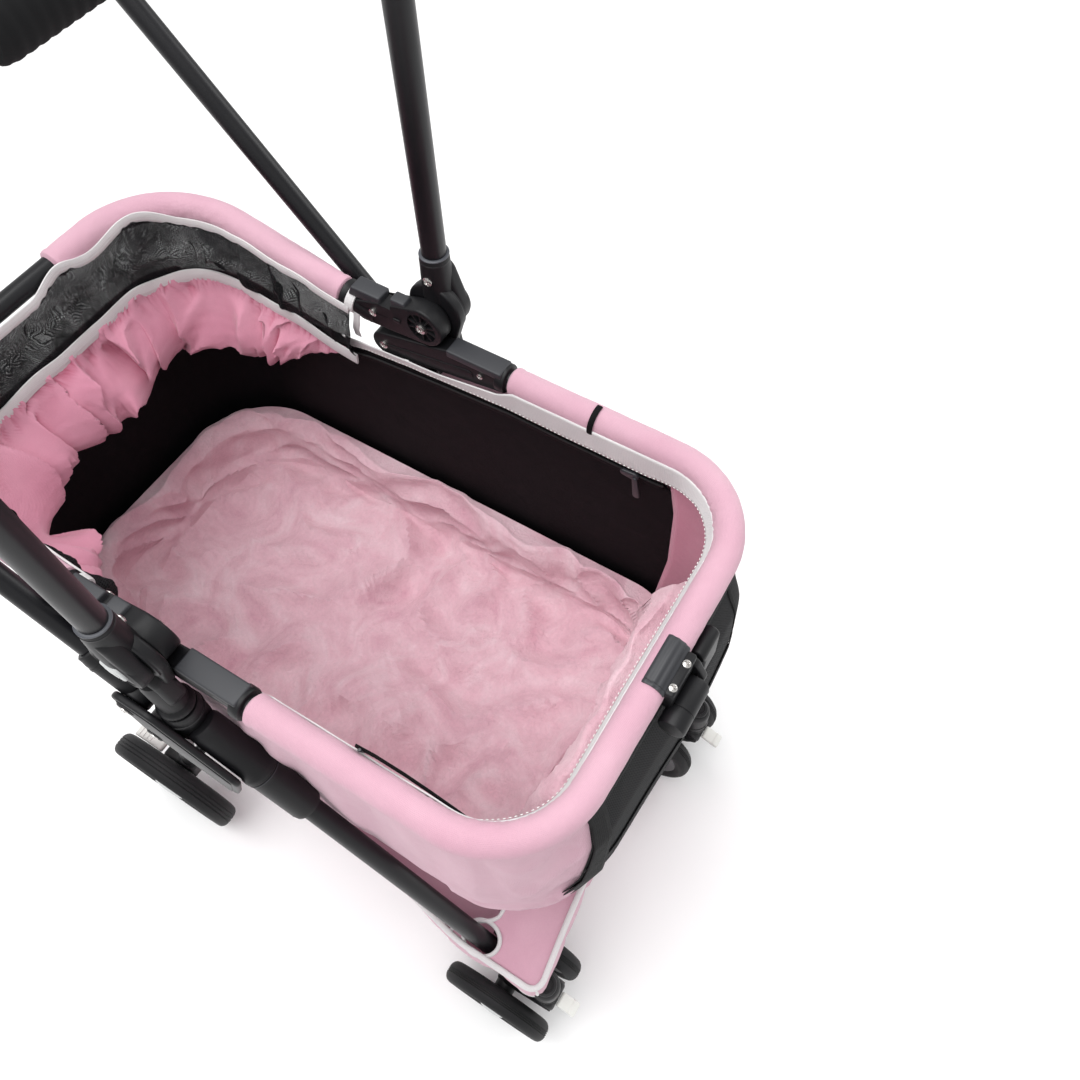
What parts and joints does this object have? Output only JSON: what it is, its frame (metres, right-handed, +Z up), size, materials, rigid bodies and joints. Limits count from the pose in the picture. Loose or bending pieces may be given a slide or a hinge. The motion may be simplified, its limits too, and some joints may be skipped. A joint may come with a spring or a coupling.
{
  "type": "pet stroller",
  "caption": "Folding pet stroller with a lift-off rimmed fabric carrier, carry bail, swivelling twin casters, rear wheels with brakes and a low storage basket.",
  "frame": {"origin": "on the floor under the middle of the bounding box", "axes": "+Z up, -Y towards the front of the stroller, -X towards the pusher's right"},
  "size_m": [0.5, 0.7664, 1.164],
  "materials": {
    "frame_tube": "satin black powder coat on aluminium tube",
    "black_plastic": "fine moulded grain, satin",
    "grey_plastic": "semi-gloss grey moulding",
    "pale_plastic": "off-white moulding",
    "soft_grip": "foam grip",
    "pink_fabric": "plain woven polyester canvas with white binding",
    "plush": "short pile plush",
    "black_mesh": "open knitted mesh",
    "tyre": "moulded tyre with light scuffing"
  },
  "bodies": {
    "chassis": {"front_leg_right": "frame_tube", "front_leg_left": "frame_tube", "leg_dock_right": "black_plastic", "leg_dock_left": "black_plastic", "fold_joint_plate_right": "black_plastic", "fold_joint_plate_left": "black_plastic", "caster_socket_right": "black_plastic", "caster_socket_left": "black_plastic", "front_cross_bar": "frame_tube", "storage_basket": "pink_fabric"},
    "rear_frame": {"rear_leg_right": "frame_tube", "rear_leg_left": "frame_tube", "rear_leg_knuckle_right": "black_plastic", "rear_leg_knuckle_left": "black_plastic", "rear_wheel_mount_right": "black_plastic", "rear_wheel_mount_left": "black_plastic", "rear_axle_bar": "frame_tube"},
    "handle": {"push_handle": "frame_tube", "push_handle_grip": "soft_grip", "push_handle_knuckle_right": "black_plastic", "push_handle_knuckle_left": "black_plastic"},
    "carrier": {"carrier_hub_right": "black_plastic", "carrier_hub_left": "black_plastic", "front_arm_right": "black_plastic", "front_arm_left": "black_plastic", "front_rim_tube": "frame_tube", "front_rim_sleeve": "pink_fabric", "front_clamp": "black_plastic", "cabin_shell": "pink_fabric", "cabin_front_mesh": "black_mesh", "cabin_floor_board": "black_plastic"},
    "floor_pad": {"cabin_floor_pad": "plush"},
    "rear_hoop": {"rear_arm_right": "black_plastic", "rear_arm_left": "black_plastic", "rear_hoop_tube": "frame_tube", "rear_hoop_sleeve_right": "pink_fabric", "rear_hoop_sleeve_left": "pink_fabric", "gathered_cover": "pink_fabric"},
    "bail": {"bail_socket_right": "black_plastic", "bail_socket_left": "black_plastic", "bail_ring_right": "pale_plastic", "bail_ring_left": "pale_plastic", "carry_bail": "frame_tube", "carry_bail_grip": "soft_grip"},
    "caster_right": {"caster_fork_right": "black_plastic"},
    "front_wheel_right_inner": {"front_wheel_right_inner": "tyre"},
    "front_wheel_right_outer": {"front_wheel_right_outer": "tyre"},
    "swivel_lock_right": {"swivel_lock_right": "pale_plastic"},
    "rear_wheel_right": {"rear_wheel_right": "tyre"},
    "brake_right": {"brake_pedal_right": "pale_plastic"},
    "button_right": {"release_button_right": "grey_plastic"},
    "caster_left": {"caster_fork_left": "black_plastic"},
    "front_wheel_left_inner": {"front_wheel_left_inner": "tyre"},
    "front_wheel_left_outer": {"front_wheel_left_outer": "tyre"},
    "swivel_lock_left": {"swivel_lock_left": "pale_plastic"},
    "rear_wheel_left": {"rear_wheel_left": "tyre"},
    "brake_left": {"brake_pedal_left": "pale_plastic"},
    "button_left": {"release_button_left": "grey_plastic"}
  },
  "joints": [
    {"name": "carrier_lift", "type": "slide", "parent": "chassis", "child": "carrier", "axis": [0, 0, 1], "range_m": [0, 0.12]},
    {"name": "handle_fold", "type": "hinge", "parent": "chassis", "child": "handle", "pos_m": [0, 0.03075, 0.645], "axis": [1, 0, 0], "range_deg": [-100, 0]},
    {"name": "rear_leg_fold", "type": "hinge", "parent": "chassis", "child": "rear_frame", "pos_m": [0, 0.03375, 0.575], "axis": [1, 0, 0], "range_deg": [-35, 0]},
    {"name": "hoop_fold", "type": "hinge", "parent": "carrier", "child": "rear_hoop", "pos_m": [0, -0.00425, 0.743], "axis": [1, 0, 0], "range_deg": [0, 35]},
    {"name": "bail_swing", "type": "hinge", "parent": "carrier", "child": "bail", "pos_m": [0, -0.00625, 0.75], "axis": [1, 0, 0], "range_deg": [-35, 80]},
    {"name": "pad_lift_out", "type": "slide", "parent": "carrier", "child": "floor_pad", "axis": [0, 0, 1], "range_m": [0, 0.1]},
    {"name": "caster_swivel_right", "type": "hinge", "parent": "chassis", "child": "caster_right", "pos_m": [-0.193, -0.34125, 0.141], "axis": [0, 0, 1], "continuous": true},
    {"name": "front_wheel_spin_right_inner", "type": "hinge", "parent": "caster_right", "child": "front_wheel_right_inner", "pos_m": [-0.193, -0.29125, 0.072], "axis": [1, 0, 0], "continuous": true},
    {"name": "front_wheel_spin_right_outer", "type": "hinge", "parent": "caster_right", "child": "front_wheel_right_outer", "pos_m": [-0.193, -0.29125, 0.072], "axis": [1, 0, 0], "continuous": true},
    {"name": "swivel_lock_lever_right", "type": "hinge", "parent": "caster_right", "child": "swivel_lock_right", "pos_m": [-0.193, -0.36225, 0.122], "axis": [1, 0, 0], "range_deg": [0, 18]},
    {"name": "rear_wheel_spin_right", "type": "hinge", "parent": "rear_frame", "child": "rear_wheel_right", "pos_m": [-0.234, 0.23675, 0.094], "axis": [1, 0, 0], "continuous": true},
    {"name": "brake_press_right", "type": "hinge", "parent": "rear_frame", "child": "brake_right", "pos_m": [-0.203, 0.27075, 0.124], "axis": [1, 0, 0], "range_deg": [-20, 0]},
    {"name": "release_press_right", "type": "slide", "parent": "bail", "child": "button_right", "axis": [1, 0, 0], "range_m": [0, 0.003], "stiffness_N_per_m": 300},
    {"name": "caster_swivel_left", "type": "hinge", "parent": "chassis", "child": "caster_left", "pos_m": [0.193, -0.34125, 0.141], "axis": [0, 0, 1], "continuous": true},
    {"name": "front_wheel_spin_left_inner", "type": "hinge", "parent": "caster_left", "child": "front_wheel_left_inner", "pos_m": [0.193, -0.29125, 0.072], "axis": [1, 0, 0], "continuous": true},
    {"name": "front_wheel_spin_left_outer", "type": "hinge", "parent": "caster_left", "child": "front_wheel_left_outer", "pos_m": [0.193, -0.29125, 0.072], "axis": [1, 0, 0], "continuous": true},
    {"name": "swivel_lock_lever_left", "type": "hinge", "parent": "caster_left", "child": "swivel_lock_left", "pos_m": [0.193, -0.36225, 0.122], "axis": [1, 0, 0], "range_deg": [0, 18]},
    {"name": "rear_wheel_spin_left", "type": "hinge", "parent": "rear_frame", "child": "rear_wheel_left", "pos_m": [0.234, 0.23675, 0.094], "axis": [1, 0, 0], "continuous": true},
    {"name": "brake_press_left", "type": "hinge", "parent": "rear_frame", "child": "brake_left", "pos_m": [0.203, 0.27075, 0.124], "axis": [1, 0, 0], "range_deg": [-20, 0]},
    {"name": "release_press_left", "type": "slide", "parent": "bail", "child": "button_left", "axis": [-1, 0, 0], "range_m": [0, 0.003], "stiffness_N_per_m": 300}
  ],
  "couplings": [
    {"joint": "rear_leg_fold", "follows": "handle_fold", "ratio": 0.35}
  ]
}
